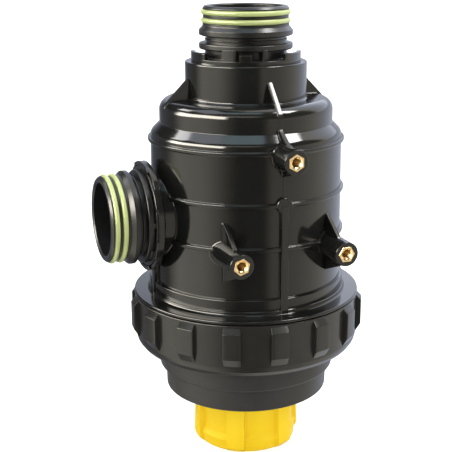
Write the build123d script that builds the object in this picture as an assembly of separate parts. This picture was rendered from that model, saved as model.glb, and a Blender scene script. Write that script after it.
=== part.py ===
from build123d import *
from math import asin, cos, degrees, radians, sin, sqrt
import os

# Suction filter: a moulded housing with a top spigot, a side spigot and three mounting bosses, a
# bowl held under it by a ring nut, a screen cartridge, and a closing valve worked by the yellow knob.
# Millimetres and degrees. The origin is the centre of the knob's underside and +Z runs up the main
# axis. The mounting bosses face -Y and the side port faces -X. A direction round the axis is counted
# from -Y towards +X.

# Clearances
ring_gap = 0.05          # rubber ring to the walls of its groove and to its bore
plug_gap = 0.1           # spigot plug in its boss
turn_gap = 0.3           # valve plug in the neck of the bowl
nut_gap = 0.8            # top of the ring nut to the flange above it
clip_gap = 0.1           # retaining clip in its groove
guide_gap = 0.1          # valve guide in the spigot and round the disc's pin

# Valve knob, its neck on the bowl and the valve plug inside
neck_bore_r = 20.5
neck_wall_t = 6.5
neck_r = neck_bore_r + neck_wall_t
thread_room = 1.5        # room for the thread outside the neck
knob_wall_t = 6.5
knob_bore_r = neck_r + thread_room
knob_r = knob_bore_r + knob_wall_t
knob_h = 40.0
lobe_proud = 4.7
lobe_taper = 1.5         # loss of the lobes' radius up the knob
lobe_count = 6
lobe_w = 14.8
lobe_phase = 26.3
lobe_round = 1.3
rim_h = 8.5
rim_proud = 2.0
rim_flare_h = 3.5
knob_edge = 5.0
knob_floor_t = 6.0
foot_w = 9.0             # foot ring, in from the knob's wall
foot_centre_r = 12.0
foot_recess = 1.2
plug_h = 28.0            # valve plug standing in the neck
socket_floor_t = 10.0

# Valve stem and its clip
stem_flange_r = 9.0
stem_flange_t = 3.0
stem_gap = 0.2           # stem flange in the knob's socket
stem_shank_r = 6.0
stem_shank_h = 23.0
stem_fin_r = 8.0
stem_fin_t = 2.4
stem_tip_h = 8.0
clip_t = 1.0
clip_in_r = stem_shank_r + 0.6
clip_out_r = stem_flange_r + 1.0
clip_slit = 50.0
socket_r = stem_flange_r + stem_gap

# Housing wall and everything turned with it
body_low_r = 68.4
body_taper = 1.1         # loss of radius up the body wall
body_h = 103.6
bevel_in = 6.5
bevel_h = 7.0
upper_h = 10.8
shoulder_round = 5.3
shoulder_rise = 0.8
wall_t = 4.0
ceiling_t = 5.5
skirt_step = 7.6         # skirt outside the body wall
skirt_wall_t = 5.0
skirt_h = 29.3
flange_proud = 6.2
flange_t = 2.2
ledge_h = 3.0
band_h = 7.9
band_proud = 2.3
ledge_proud = 0.7         # small ledge at the foot of the band
body_top_r = body_low_r - body_taper
upper_r = body_top_r - bevel_in
skirt_r = body_low_r + skirt_step
flange_r = skirt_r + flange_proud
rib_drops = (4.3, 39.2, 69.2)
rib_t = 3.0
rib_proud = 2.0
front_rib_w = 5.2
front_rib_proud = 2.9
front_rib_foot = 0.8
pad_r = 5.6
pad_proud = 2.4

# Bowl
rim_z = 43.5             # underside of the bowl above the foot
bowl_low_h = 17.0        # lower, narrower part
bowl_high_h = 23.2       # wider part, up to the nut's lip
bowl_step = 5.2
bowl_wall_t = 4.0
bowl_flange_w = 10.7
bowl_flange_t = 4.3
bowl_flange_inset = 0.5  # inside the skirt's outer face
bowl_spigot_h = 16.0     # plug part standing inside the skirt
bowl_recess = 6.5        # depth of the hollow underside
bowl_floor_t = 4.0
bowl_flange_r = skirt_r - bowl_flange_inset
bowl_high_r = bowl_flange_r - bowl_flange_w
bowl_low_r = bowl_high_r - bowl_step
hub_wall_t = 3.5
hub_r = neck_bore_r + hub_wall_t
hub_h = 12.0

# Ring nut
nut_lip_t = 4.4
nut_lip_gap = 2.3
nut_bore_gap = 2.2       # room for the thread outside the skirt
nut_wall_t = 3.5
nut_grips = 16
nut_phase = 16.7
grip_w = 12.1
grip_proud = 3.6

# Spigots, from the seat of the plug up to the tip
spigot_bore_r = 25.2
spigot_wall_t = 4.8
spigot_r = spigot_bore_r + spigot_wall_t
spigot_neck_r = spigot_r + 0.5
spigot_neck_h = 5.7
collar_r = spigot_r + 2.6
back_collar_h = 4.2
fork_wall_t = 2.2
fork_r = spigot_bore_r + fork_wall_t
fork_rib_r = fork_r + 1.2
fork_rib_h = 1.1
fork_w = 4.7
front_collar_h = 6.8
front_collar_cone = 2.8
front_collar_end = 0.8
lead_h = 1.7
groove_w = 3.8
groove_step = 1.9
tip_h = 2.2
tip_cone = 1.4
plug_r = spigot_r + 5.3
plug_l = 13.0
plug_wall_t = 4.3
plug_mouth_r = plug_r - plug_wall_t
plug_mouth_h = 3.5
plug_cone_h = 4.5
plug_groove_z = 5.0
guide_bore_step = 0.8    # wider stretch of the bore that takes the valve guide
guide_bore_h = 18.0
dog_r = spigot_neck_r + 3.0
side_flange_z = 15.0     # side spigot's flange above the spigot's own zero
side_flange_t = 3.4
side_pilot_l = 6.0
face_groove_in_r = 30.9
face_groove_w = 2.4
dog_spots = ((-41.5, 8.5), (1.5, 3.0), (138.5, 8.5), (181.5, 3.0))

# Rubber rings
seal_d = 3.5
tip_seal_r = spigot_r + 1.0
plug_seal_d = 2.3
face_seal_d = 1.8
knob_seal_d = 2.4
bowl_seal_d = 3.0

# Top boss, its crown and the valve seat
bore_r = plug_r + plug_gap
boss_wall_t = 6.9
boss_r = bore_r + boss_wall_t
boss_h = 25.4
boss_foot_proud = 1.4
boss_foot_h = 4.0
plug_seat_depth = 10.4
seat_floor_drop = 16.5   # valve seat floor below the spigot's seat
seat_ledge_w = 1.9
seat_wall_r = bore_r - seat_ledge_w
seat_bead_w = 2.5
seat_bead_h = 1.0
crown_t = 2.9
crown_low = 2.8
crown_high = 7.0
crown_lugs = ((-90, 22), (45, 22), (157.5, 22), (-22, 6))
gusset_t = 3.0
gusset_inset = 0.3       # foot of the gusset inside the upper wall's outer face
gusset_rise = 13.7

# Side port
side_drop = 55.3         # port axis below the top of the body wall
side_neck_r = 29.0
side_neck_wall_t = 2.2
side_plate_proud = 6.6   # face of the port's plate outside the body wall
side_plate_t = 1.8
side_plate_cone_h = 3.0
side_pocket_depth = 0.8
side_crown_low = 1.8
side_crown_high = 3.2
side_lugs = ((90, 26), (29, 12), (-27, 12), (-90, 22), (180, 20))
side_neck_bore_r = side_neck_r - side_neck_wall_t
side_plate_r = bore_r + crown_t
side_plate_reach = body_low_r + side_plate_proud
side_pocket_reach = side_plate_reach - side_pocket_depth

# Mounting bosses
mount_pcd = 86.6
mount_drop = 50.1        # pattern centre below the top of the body wall
mount_proud = 19.4       # face of the bosses outside the body wall
barrel_r = 8.3
insert_flats = 10.4
insert_l = 14.0
bolt_hole_r = 3.4
bolt_depth = 18.0
fin_t = 2.8
fin_rise = 21.6
fin_setback = 11.3
fin_drop_top = 13.4
fin_drop_low = 19.5
fin_back = 3.4
mount_reach = body_low_r + mount_proud

# Valve disc and its seal
valve_lift = 12.0
disc_gap = 0.4           # disc in the guide's rim
disc_lap = 4.5           # disc over the seat's bore
disc_t = 5.0
disc_seal_w = 5.5
disc_seal_t = 2.5
disc_seal_proud = 1.0
disc_hub_r = 9.0
disc_hub_h = 6.0
disc_cup_h = 1.5
pin_r = 5.0
pin_h = 15.0

# Valve guide: a rim held under the top spigot's plug, three legs and a hub for the disc's pin
guide_rim_t = 2.0
guide_wall_t = 1.8
guide_legs = 3
guide_leg_half = 7.0
guide_h = 16.0           # above the plug's seat
guide_plate_t = 3.0
guide_hub_r = 8.0
guide_hub_h = 12.5
guide_flange_r = 12.0
guide_arm_w = 4.0
guide_leg_gap = 0.2      # legs outside the rim's inner edge
guide_rim_r = plug_mouth_r - guide_gap - guide_wall_t - guide_leg_gap
disc_r = guide_rim_r - disc_gap
seat_bore_r = disc_r - disc_lap

# Spring
spring_r = 10.0
wire_d = 1.6
spring_turns = 5

# Screen cartridge
gasket_low_t = 2.0
gasket_low_w = 10.0
gasket_top_t = 2.5
gasket_inset = 1.3       # inside the cage's outer face
cage_room = 3.3          # between the cage and the housing's wall
cage_r = upper_r - wall_t - cage_room
cage_wall_t = 3.0
cage_foot_h = 6.0
cage_head_h = 4.0
cage_gap = 0.5
cage_bars = 8
cage_bar_w = 5.0
cage_hoops = 3
hoop_h = 3.0
screen_t = 0.5
screen_gap = 0.2
slit_columns = 24
slit_rows = 4
slit_w = 6.0
slit_edge = 5.0
screen_tube_inset = 9.5  # tube under the ceiling, inside the cage's outer face
screen_tube_r = cage_r - screen_tube_inset
screen_tube_t = 4.0
screen_tube_h = 14.5

# Levels that follow from the sizes above
nut_seat_z = rim_z + bowl_low_h + bowl_high_h
skirt_z = nut_seat_z + bowl_flange_t
flange_z = skirt_z + skirt_h
ledge_z = flange_z + flange_t + ledge_h
wall_z = ledge_z + band_h
wall_top_z = wall_z + body_h
upper_z = wall_top_z + bevel_h
shoulder_z = upper_z + upper_h + shoulder_round
boss_z = shoulder_z + shoulder_rise
boss_top_z = boss_z + boss_h
plug_seat_z = boss_top_z - plug_seat_depth
seat_floor_z = plug_seat_z - seat_floor_drop
ceiling_z = boss_z - ceiling_t
side_z = wall_top_z - side_drop
mount_z = wall_top_z - mount_drop
collar_z = plug_l + spigot_neck_h
fork_z = collar_z + back_collar_h
front_collar_z = fork_z + fork_w
lead_z = front_collar_z + front_collar_h
groove_z = lead_z + lead_h
tip_z = groove_z + 2 * groove_w + groove_step
spigot_l = tip_z + tip_h
groove_floor_r = tip_seal_r - seal_d - ring_gap
seal_zs = (groove_z + groove_w / 2, tip_z - groove_w / 2)
disc_z = seat_floor_z + seat_bead_h + valve_lift + disc_seal_proud
stem_top_z = disc_z - disc_hub_h + disc_cup_h
guide_z = plug_seat_z + guide_h
bowl_floor_z = rim_z + bowl_recess + bowl_floor_t
hub_top_z = bowl_floor_z + hub_h
cage_z = bowl_floor_z + gasket_low_t
cage_top_z = ceiling_z - gasket_top_t
valve_plug_r = neck_bore_r - turn_gap
skirt_bore_r = skirt_r - skirt_wall_t
nut_bore_r = skirt_r + nut_bore_gap
nut_r = nut_bore_r + nut_wall_t
nut_z = nut_seat_z - nut_lip_t
nut_top_z = flange_z - nut_gap
lobe_r = knob_r + lobe_proud
foot_r = knob_r - foot_w
side_origin_reach = side_pocket_reach - side_flange_z
past = 5.0               # how far a cutting tool runs past what it cuts


def turned(*corners):
    """A body turned about Z. Each corner is (radius, height), with a rounding after it if it has one."""
    spots = [corner[:2] for corner in corners]
    rounds = [corner[2] if len(corner) > 2 else 0 for corner in corners]
    outline = FilletPolyline(*spots, radius=rounds, close=True)
    return revolve(Plane.XZ * make_face(outline.edges()), Axis.Z)


def ring(inner, outer, low, high):
    """A plain ring between two radii and two heights."""
    return extrude(Plane.XY.offset(low) * (Circle(outer) - Circle(inner)), high - low)


def disc(radius, low, high):
    """A plain disc between two heights."""
    return extrude(Plane.XY.offset(low) * Circle(radius), high - low)


def slice_of_ring(middle, half, *corners):
    """An outline of (radius, height) corners turned through a slice, half degrees each side of middle."""
    face = Plane.XZ * make_face(Polyline(*corners, close=True).edges())
    return Rot(0, 0, middle - 90 - half) * revolve(face, Axis.Z, 2 * half)


def block_of_ring(inner, outer, low, high, middle, half):
    """A slice of a plain ring."""
    return slice_of_ring(middle, half, (inner, low), (outer, low), (outer, high), (inner, high))


def upright(x, thickness, *corners):
    """A plate of one thickness standing in the plane of Y and Z at x, from its (y, z) corners."""
    face = Plane.YZ.offset(x - thickness / 2) * make_face(Polyline(*corners, close=True).edges())
    return extrude(face, thickness)


def rubber_ring(outer, section):
    """A round rubber ring lying in the plane Z = 0, by its outer radius."""
    return Torus(outer - section / 2, section / 2)


def wall_r(z):
    """Radius of the body's tapered outer wall at a height."""
    return body_low_r + (body_top_r - body_low_r) * (z - wall_z) / body_h


def in_top_port(solid):
    """Move a solid from the spigot's own frame to the top boss."""
    return Pos(0, 0, plug_seat_z) * solid


def in_side_port(solid, reach=side_origin_reach):
    """Move a solid from the port's own frame to the side boss; reach is its distance from the axis."""
    return Location((-reach, 0, side_z), (0, -90, 0)) * solid


def crown(base, low, high, lugs):
    """Castellated collar round a spigot's plug: a low wall with taller lugs at (middle, half)."""
    collar = ring(bore_r, bore_r + crown_t, base, base + low)
    for middle, half in lugs:
        collar += block_of_ring(bore_r, bore_r + crown_t, base, base + high, middle, half)
    return collar


def body_shell():
    """The housing's turned outside, still solid."""
    return turned(
        (0, skirt_z),
        (skirt_r, skirt_z, 0.6),
        (skirt_r, flange_z),
        (flange_r, flange_z, 0.9),
        (flange_r - 0.4, flange_z + flange_t, 0.9),
        (body_low_r + band_proud + ledge_proud + 0.2, flange_z + flange_t + 0.2, 1.6),
        (body_low_r + band_proud + ledge_proud, ledge_z - 0.4, 0.5),
        (body_low_r + band_proud, ledge_z, 0.2),
        (body_low_r + band_proud, wall_z, 0.8),
        (body_low_r, wall_z),
        (body_top_r, wall_top_z, 1.5),
        (body_top_r - 1.1, wall_top_z + 0.34 * bevel_h, 2.0),
        (upper_r + 2.8, upper_z - 0.31 * bevel_h, 2.0),
        (upper_r, upper_z),
        (upper_r - 0.1, shoulder_z, shoulder_round),
        (boss_r + boss_foot_proud, boss_z),
        (boss_r + boss_foot_proud, boss_z + boss_foot_h, 0.5),
        (boss_r + 0.3, boss_z + boss_foot_h + 0.4),
        (boss_r, boss_top_z, 0.8),
        (0, boss_top_z),
    )


def chamber():
    """The space inside the housing, from the skirt's mouth up to the ceiling."""
    return turned(
        (0, skirt_z - past),
        (skirt_bore_r, skirt_z - past),
        (skirt_bore_r, flange_z),
        (body_low_r - wall_t, wall_z - 2.0),
        (body_top_r - wall_t, wall_top_z),
        (upper_r - wall_t, upper_z),
        (upper_r - wall_t, ceiling_z, 3.0),
        (0, ceiling_z),
    )


def body_rib(drop):
    """A rounded hoop round the body wall."""
    z = wall_top_z - drop
    root = wall_r(z) - 1.0
    tip = wall_r(z) + rib_proud
    edge = 0.45 * rib_t
    low = z - rib_t / 2
    high = z + rib_t / 2
    return turned((root, low), (tip, low, edge), (tip, high, edge), (root, high))


def front_rib(top_z):
    """An upright rib on the body wall, from the flange to top_z."""
    low = flange_z + flange_t / 2
    deep = body_top_r - wall_t / 2
    foot = -body_low_r - front_rib_proud - front_rib_foot
    return upright(
        0,
        front_rib_w,
        (-deep, low),
        (foot, low),
        (foot, ledge_z),
        (-wall_r(wall_z) - front_rib_proud, wall_z),
        (-wall_r(top_z) - front_rib_proud, top_z),
        (-deep, top_z),
    )


def gate_pad():
    """The round raised pad on the second hoop."""
    z = wall_top_z - rib_drops[1]
    face = wall_r(z) + pad_proud
    pad = extrude(Plane(origin=(0, -face, z), z_dir=(0, 1, 0)) * Circle(pad_r), pad_proud + wall_t / 2)
    rim = pad.edges().filter_by(GeomType.CIRCLE).sort_by(Axis.Y)[0]
    return fillet(rim, 0.8)


def gusset():
    """A three-cornered web between the top boss and the shoulder."""
    deep = boss_r - 2.0
    return upright(
        0,
        gusset_t,
        (-deep, boss_z - 2.0),
        (-upper_r + 2.0, boss_z - 4.5),
        (-upper_r + gusset_inset, shoulder_z - 4.7),
        (-upper_r + gusset_inset, shoulder_z - 2.8),
        (-boss_r, boss_z + gusset_rise),
        (-deep, boss_z + gusset_rise),
    )


def side_plate():
    """The side port's neck and its plate, in the port's own frame with the plate's face at Z = 0."""
    return turned(
        (0, -side_neck_r + 5.0),
        (side_neck_r, -side_neck_r + 5.0),
        (side_neck_r, -side_plate_t - side_plate_cone_h),
        (side_plate_r, -side_plate_t),
        (side_plate_r, 0),
        (0, 0),
    )


def mount_spots():
    """The three mounting bosses on their circle, as (x, z, drop of the lower fin, turn of the insert)."""
    spots = []
    for angle, drop, turn in ((0, fin_drop_top, 0), (120, fin_drop_low, 30), (240, fin_drop_low, 12)):
        x = mount_pcd / 2 * sin(radians(angle))
        z = mount_z + mount_pcd / 2 * cos(radians(angle))
        spots.append((x, z, drop, turn))
    return spots


def mount_boss(x, z, drop):
    """A barrel with an upright fin above and below, rooted in the body wall."""
    root = sqrt((body_top_r - wall_t / 2) ** 2 - (abs(x) + barrel_r) ** 2)
    high = z + fin_rise
    wall_here = upper_r if high > upper_z else wall_r(high)
    back_high = sqrt(wall_here**2 - x**2)
    back_low = sqrt(wall_r(z - drop) ** 2 - x**2)
    fin_root = min(root, back_high - wall_t / 2)
    face_plane = Plane(origin=(x, -mount_reach, z), x_dir=(1, 0, 0), z_dir=(0, 1, 0))
    barrel = extrude(face_plane * Circle(barrel_r), mount_reach - root)
    upper_fin = upright(
        x,
        fin_t,
        (-fin_root, z),
        (-fin_root, high),
        (-back_high, high),
        (fin_setback - mount_reach, z + barrel_r),
        (fin_setback - mount_reach, z),
    )
    lower_fin = upright(
        x,
        fin_t,
        (-root, z),
        (fin_back - mount_reach, z),
        (fin_back - mount_reach, z - barrel_r),
        (-back_low, z - drop),
        (-root, z - drop),
    )
    return barrel + upper_fin + lower_fin


def insert_pocket(x, z, turn):
    """The hexagonal pocket of a threaded insert, with the bolt's hole running on behind it."""
    face_plane = Plane(origin=(x, -mount_reach, z), x_dir=(1, 0, 0), z_dir=(0, 1, 0))
    hexagon = RegularPolygon(insert_flats / 2, 6, major_radius=False, rotation=30 + turn)
    return extrude(face_plane * hexagon, insert_l) + extrude(face_plane * Circle(bolt_hole_r), bolt_depth)


def mounting_insert(x, z, turn):
    """A hexagonal brass insert with a chamfered hole."""
    face_plane = Plane(origin=(x, -mount_reach, z), x_dir=(1, 0, 0), z_dir=(0, 1, 0))
    hexagon = RegularPolygon(insert_flats / 2, 6, major_radius=False, rotation=30 + turn)
    insert = extrude(face_plane * (hexagon - Circle(bolt_hole_r)), insert_l)
    mouth = insert.edges().filter_by(GeomType.CIRCLE).sort_by(Axis.Y)[0]
    return chamfer(mouth, 0.7)


def housing():
    """The moulded housing with its bosses, ribs, crowns, skirt and valve seat."""
    body = body_shell()
    for drop in rib_drops:
        body += body_rib(drop)
    body += front_rib(wall_top_z - rib_drops[1])
    body += Rot(0, 0, -90) * front_rib(side_z - side_neck_r + 1.0)
    body += gate_pad()
    for quarter in range(4):
        body += Rot(0, 0, 90 * quarter) * gusset()
    for x, z, drop, turn in mount_spots():
        body += mount_boss(x, z, drop)
    body += in_side_port(side_plate(), side_plate_reach)
    body -= chamber()
    body += ring(screen_tube_r - screen_tube_t, screen_tube_r, ceiling_z - screen_tube_h, ceiling_z)
    body -= in_side_port(disc(side_neck_bore_r, -side_neck_r, past), side_plate_reach)
    body -= in_side_port(disc(bore_r, 0, past), side_pocket_reach)
    body -= disc(bore_r, plug_seat_z - guide_rim_t, boss_top_z + past)
    body -= disc(seat_wall_r, seat_floor_z, plug_seat_z)
    body -= disc(seat_bore_r, ceiling_z - past, seat_floor_z)
    body += ring(seat_bore_r, seat_bore_r + seat_bead_w, seat_floor_z, seat_floor_z + seat_bead_h)
    body += crown(boss_top_z, crown_low, crown_high, crown_lugs)
    side_crown = crown(0, side_crown_low, side_crown_high, side_lugs)
    body += in_side_port(side_crown, side_plate_reach)
    for x, z, drop, turn in mount_spots():
        body -= insert_pocket(x, z, turn)
    return body


def spigot(start, end, dog_z):
    """A spigot in its own frame: start is its outline up to the neck, end the way back inside its bore."""
    land = spigot_r - 0.4
    body = turned(
        *start,
        (spigot_neck_r, collar_z),
        (collar_r, collar_z, 1.2),
        (collar_r, fork_z, 0.8),
        (fork_r, fork_z),
        (fork_r, fork_z + (fork_w - fork_rib_h) / 2),
        (fork_rib_r, fork_z + (fork_w - fork_rib_h) / 2),
        (fork_rib_r, fork_z + (fork_w + fork_rib_h) / 2),
        (fork_r, fork_z + (fork_w + fork_rib_h) / 2),
        (fork_r, front_collar_z),
        (spigot_neck_r, front_collar_z),
        (collar_r, front_collar_z + front_collar_end),
        (collar_r, lead_z - front_collar_cone),
        (spigot_r, lead_z),
        (spigot_r, groove_z),
        (groove_floor_r, groove_z),
        (groove_floor_r, groove_z + groove_w),
        (land, groove_z + groove_w),
        (land, tip_z - groove_w),
        (groove_floor_r, tip_z - groove_w),
        (groove_floor_r, tip_z),
        (spigot_r, tip_z),
        (spigot_r, tip_z + 0.7),
        (spigot_r - tip_cone, spigot_l),
        (spigot_bore_r + 0.8, spigot_l),
        (spigot_bore_r, spigot_l - 0.8),
        *end,
    )
    for middle, half in dog_spots:
        body += block_of_ring(spigot_neck_r - 1.0, dog_r, dog_z, collar_z + 1.5, middle, half)
    return body


def top_spigot():
    """The top spigot: a plug with a ring groove, and a wider bore that takes the valve guide."""
    guide_bore_r = spigot_bore_r + guide_bore_step
    plug = (
        (plug_mouth_r, 0),
        (plug_r, 0, 0.8),
        (plug_r, plug_groove_z),
        (plug_r - plug_seal_d, plug_groove_z),
        (plug_r - plug_seal_d, plug_groove_z + plug_seal_d + 0.7),
        (plug_r, plug_groove_z + plug_seal_d + 0.7),
        (plug_r, plug_l, 0.6),
        (spigot_neck_r, plug_l),
    )
    bore = (
        (spigot_bore_r, guide_bore_h + guide_bore_step / 2),
        (guide_bore_r, guide_bore_h),
        (guide_bore_r, plug_mouth_h + plug_cone_h),
        (plug_mouth_r, plug_mouth_h),
    )
    return spigot(plug, bore, plug_l)


def side_spigot():
    """The side spigot: a pilot in the port's neck and a flange with a ring groove in its back."""
    pilot_r = side_neck_bore_r - plug_gap
    groove_top = side_flange_z + face_seal_d + 2 * ring_gap
    groove_out_r = face_groove_in_r + face_groove_w
    flange_top = side_flange_z + side_flange_t
    flange = (
        (pilot_r, side_flange_z - side_pilot_l, 0.5),
        (pilot_r, side_flange_z),
        (face_groove_in_r, side_flange_z),
        (face_groove_in_r, groove_top),
        (groove_out_r, groove_top),
        (groove_out_r, side_flange_z),
        (plug_r, side_flange_z),
        (plug_r, flange_top, 0.6),
        (spigot_neck_r, flange_top),
    )
    bore = ((spigot_bore_r, side_flange_z - side_pilot_l),)
    return spigot(flange, bore, flange_top - 0.6)


def valve_guide():
    """The valve's guide: a rim held under the top spigot's plug, legs up its mouth and a hub on arms."""
    outer = plug_mouth_r - guide_gap
    upper = spigot_bore_r + guide_bore_step - guide_gap
    cone_low = plug_seat_z + plug_mouth_h - guide_gap
    cone_high = plug_seat_z + plug_mouth_h + plug_cone_h
    plate_z = guide_z - guide_plate_t
    reach = upper - guide_wall_t / 2
    body = ring(guide_rim_r, plug_r, plug_seat_z - guide_rim_t, plug_seat_z)
    body += ring(pin_r + guide_gap, guide_hub_r, guide_z - guide_hub_h, guide_z)
    body += ring(pin_r + guide_gap, guide_flange_r, plate_z, guide_z)
    for number in range(guide_legs):
        turn = 360 / guide_legs * number
        body += slice_of_ring(
            turn,
            guide_leg_half,
            (outer - guide_wall_t, plug_seat_z - guide_rim_t / 2),
            (outer, plug_seat_z - guide_rim_t / 2),
            (outer, cone_low),
            (upper, cone_high),
            (upper, guide_z),
            (upper - guide_wall_t, guide_z),
            (upper - guide_wall_t, cone_high - guide_wall_t / 2),
            (outer - guide_wall_t, cone_low - guide_wall_t / 2),
        )
        bar = Box(reach - guide_hub_r + 1.0, guide_arm_w, guide_plate_t)
        arm = Pos((reach + guide_hub_r - 1.0) / 2, 0, plate_z + guide_plate_t / 2) * bar
        body += Rot(0, 0, turn - 90) * arm
    return body


def ring_nut():
    """The ring nut: a lip under the bowl's flange, a plain bore and sixteen grip blocks."""
    body = turned(
        (bowl_high_r + nut_lip_gap, nut_z, 0.6),
        (nut_r - 3.4, nut_z, 0.8),
        (nut_r - 0.9, nut_z + 3.4, 1.5),
        (nut_r, nut_z + 6.8),
        (nut_r, nut_top_z, 0.6),
        (nut_bore_r, nut_top_z),
        (nut_bore_r, nut_seat_z),
        (bowl_high_r + nut_lip_gap, nut_seat_z),
    )
    tip = nut_r + grip_proud
    half = degrees(asin(grip_w / 2 / tip))
    root = nut_bore_r + nut_wall_t / 2
    for number in range(nut_grips):
        body += slice_of_ring(
            nut_phase + 360 / nut_grips * number,
            half,
            (root, nut_z + 5.1),
            (tip, nut_z + 14.0),
            (tip, nut_top_z - 5.0),
            (nut_r + 0.1, nut_top_z - 1.4),
            (root, nut_top_z - 1.4),
        )
    return body


def bowl():
    """The bowl: stepped wall, flange under the skirt, plug with a ring groove, neck and hub."""
    plug = skirt_bore_r - 0.1
    groove_floor = skirt_bore_r - bowl_seal_d - 2 * ring_gap
    groove_low = skirt_z + bowl_spigot_h / 2 - bowl_seal_d / 2 - 0.4
    groove_high = groove_low + bowl_seal_d + 0.8
    step_z = rim_z + bowl_low_h
    inside = bowl_high_r - bowl_wall_t
    return turned(
        (bowl_low_r - bowl_wall_t, rim_z, 0.6),
        (bowl_low_r, rim_z, 1.2),
        (bowl_low_r + 0.4, step_z - 1.2, 1.0),
        (bowl_high_r - 0.4, step_z + 0.6, 1.8),
        (bowl_high_r, nut_seat_z),
        (bowl_flange_r, nut_seat_z),
        (bowl_flange_r, skirt_z, 0.5),
        (plug, skirt_z),
        (plug, groove_low),
        (groove_floor, groove_low),
        (groove_floor, groove_high),
        (plug, groove_high),
        (plug, skirt_z + bowl_spigot_h, 0.8),
        (plug - bowl_wall_t - 1.4, skirt_z + bowl_spigot_h, 0.5),
        (plug - bowl_wall_t - 1.4, skirt_z + 2.0, 1.5),
        (inside, nut_seat_z + 1.0, 1.5),
        (inside, step_z + 2.0, 1.5),
        (bowl_low_r - bowl_wall_t + 0.5, bowl_floor_z + 4.0, 1.0),
        (bowl_low_r - bowl_wall_t + 0.5, bowl_floor_z, 1.5),
        (hub_r, bowl_floor_z),
        (hub_r, hub_top_z, 1.0),
        (neck_bore_r, hub_top_z),
        (neck_bore_r, knob_floor_t),
        (neck_r, knob_floor_t, 0.8),
        (neck_r, rim_z + bowl_recess, 2.0),
        (bowl_low_r - bowl_wall_t, rim_z + bowl_recess, 1.5),
    )


def knob_outline():
    """The knob's lobed outline: six wide lobes on a circle, with rounded corners."""
    outline = Circle(knob_r)
    half = degrees(asin(lobe_w / 2 / lobe_r))
    for number in range(lobe_count):
        middle = lobe_phase + 360 / lobe_count * number - 90
        lobe = make_face(
            [
                Line((0, 0), (lobe_r * cos(radians(middle - half)), lobe_r * sin(radians(middle - half)))),
                CenterArc((0, 0), lobe_r, middle - half, 2 * half),
                Line((lobe_r * cos(radians(middle + half)), lobe_r * sin(radians(middle + half))), (0, 0)),
            ]
        )
        outline += lobe
    return fillet(outline.vertices(), lobe_round)


def valve_knob():
    """The yellow knob: lobed grip, threaded cup over the bowl's neck, and the valve plug inside it."""
    envelope = turned((0, 0), (lobe_r, 0, knob_edge), (lobe_r - lobe_taper, knob_h, 0.8), (0, knob_h))
    body = extrude(knob_outline(), knob_h)
    rim_r = knob_r + rim_proud
    flare_z = rim_h + rim_flare_h
    body += turned((0, 0), (rim_r - 0.6, 0, 1.2), (rim_r, rim_h, 0.8), (knob_r - 0.5, flare_z), (0, flare_z))
    body &= envelope
    body -= ring(valve_plug_r, knob_bore_r, knob_floor_t, knob_h + past)
    plug_top = knob_floor_t + plug_h
    body -= disc(valve_plug_r + 1.0, plug_top, knob_h + past)
    body -= disc(socket_r, socket_floor_t, plug_top + past)
    seal_z = plug_top - plug_h / 5
    groove_half = knob_seal_d / 2 + 0.4
    floor_r = neck_bore_r - knob_seal_d - 2 * ring_gap
    body -= ring(floor_r, valve_plug_r + 1.0, seal_z - groove_half, seal_z + groove_half)
    clip_z = socket_floor_t + stem_flange_t + 2 * clip_gap
    body -= disc(clip_out_r + clip_gap, clip_z - clip_gap / 2, clip_z + clip_t + clip_gap / 2)
    body -= ring(foot_centre_r, foot_r, -past, foot_recess)
    return body


def knob_seal():
    """The rubber ring on the valve plug."""
    seal_z = knob_floor_t + plug_h - plug_h / 5
    return Pos(0, 0, seal_z) * rubber_ring(neck_bore_r - ring_gap, knob_seal_d)


def stem_clip():
    """The open retaining clip that holds the stem's flange in the knob."""
    clip_z = socket_floor_t + stem_flange_t + 2 * clip_gap
    return block_of_ring(clip_in_r, clip_out_r, clip_z, clip_z + clip_t, 0, 180 - clip_slit / 2)


def valve_stem():
    """The long stem: flange, round shank, cross-shaped middle and round tip."""
    shank_z = socket_floor_t + stem_flange_t
    fins_z = shank_z + stem_shank_h
    tip_low = stem_top_z - stem_tip_h
    stem = disc(stem_flange_r, socket_floor_t, shank_z) + disc(stem_shank_r, shank_z, fins_z)
    cross = Rectangle(2 * stem_fin_r, stem_fin_t) + Rectangle(stem_fin_t, 2 * stem_fin_r)
    stem += extrude(Plane.XY.offset(fins_z) * cross, tip_low - fins_z)
    tip = disc(stem_shank_r, tip_low, stem_top_z)
    return stem + chamfer(tip.faces().sort_by(Axis.Z)[-1].edges(), 0.8)


def valve_disc():
    """The valve disc with its hub over the stem and its guide pin."""
    seal_top = disc_z - disc_seal_proud + disc_seal_t
    body = disc(disc_r, disc_z, disc_z + disc_t)
    body -= ring(disc_r - 0.5 - disc_seal_w, disc_r - 0.5, disc_z - past, seal_top)
    body += disc(disc_hub_r, disc_z - disc_hub_h, disc_z)
    body -= disc(stem_shank_r + 0.5, disc_z - disc_hub_h, stem_top_z)
    pin = disc(pin_r, disc_z + disc_t, disc_z + disc_t + pin_h)
    return body + chamfer(pin.faces().sort_by(Axis.Z)[-1].edges(), 0.8)


def valve_disc_seal():
    """The flat rubber ring let into the disc's underside."""
    low = disc_z - disc_seal_proud
    return ring(disc_r - 0.5 - disc_seal_w, disc_r - 0.5, low, low + disc_seal_t)


def valve_spring():
    """The closing spring between the disc and the guide's flange."""
    low = disc_z + disc_t + wire_d / 2 + ring_gap
    high = guide_z - guide_plate_t - wire_d / 2 - ring_gap
    path = Helix((high - low) / spring_turns, high - low, spring_r)
    start = Plane(origin=path @ 0, z_dir=path % 0)
    return Pos(0, 0, low) * sweep(start * Circle(wire_d / 2), path=path, is_frenet=True)


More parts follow.
